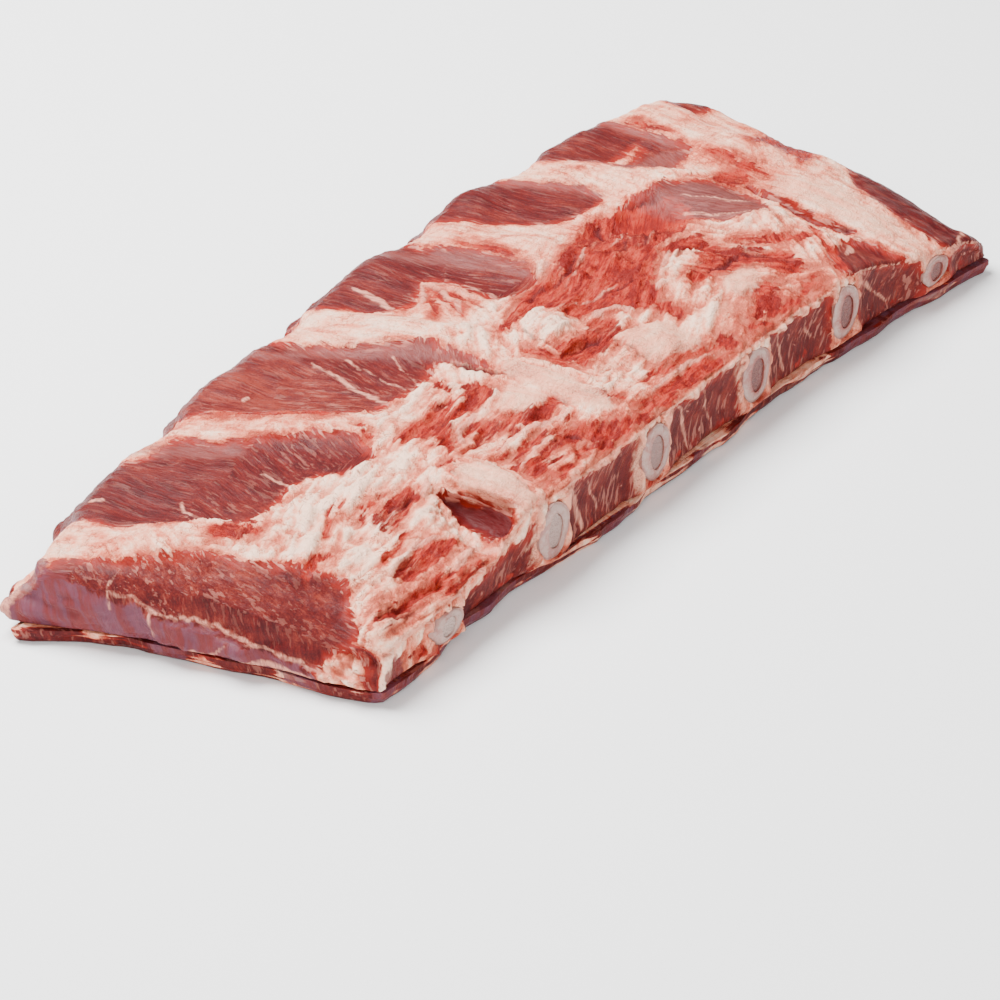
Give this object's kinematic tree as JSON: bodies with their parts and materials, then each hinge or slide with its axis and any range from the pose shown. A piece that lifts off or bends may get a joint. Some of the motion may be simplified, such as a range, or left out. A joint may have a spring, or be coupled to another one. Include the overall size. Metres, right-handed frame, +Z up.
{
  "type": "raw beef ribs",
  "caption": "Rack of raw beef ribs lying bone side up, with sawn oval bone ends and red marrow along one side and a thin sheet of cover meat below.",
  "frame": {"origin": "on the table under the middle of the rack's bounding box", "axes": "+X along the rack from its thin front end to its far end, +Y across it from the sawn side to the free side, +Z up"},
  "size_m": [0.4146, 0.1748, 0.0402],
  "materials": {
    "raw_beef": "moist raw beef: dark red lean between the ribs, cream and pink fat over the bones",
    "cover_beef": "moist raw beef under a thin pale membrane",
    "bone": "freshly sawn bone, grey-white",
    "marrow": "spongy red-brown bone core"
  },
  "bodies": {
    "root": {"rib_meat": "raw_beef", "cover_meat": "cover_beef", "rib_bone_1": "bone", "rib_bone_2": "bone", "rib_bone_3": "bone", "rib_bone_4": "bone", "rib_bone_5": "bone", "rib_bone_6": "bone", "marrow_1": "marrow", "marrow_2": "marrow", "marrow_3": "marrow", "marrow_4": "marrow", "marrow_5": "marrow", "marrow_6": "marrow"}
  },
  "joints": []
}
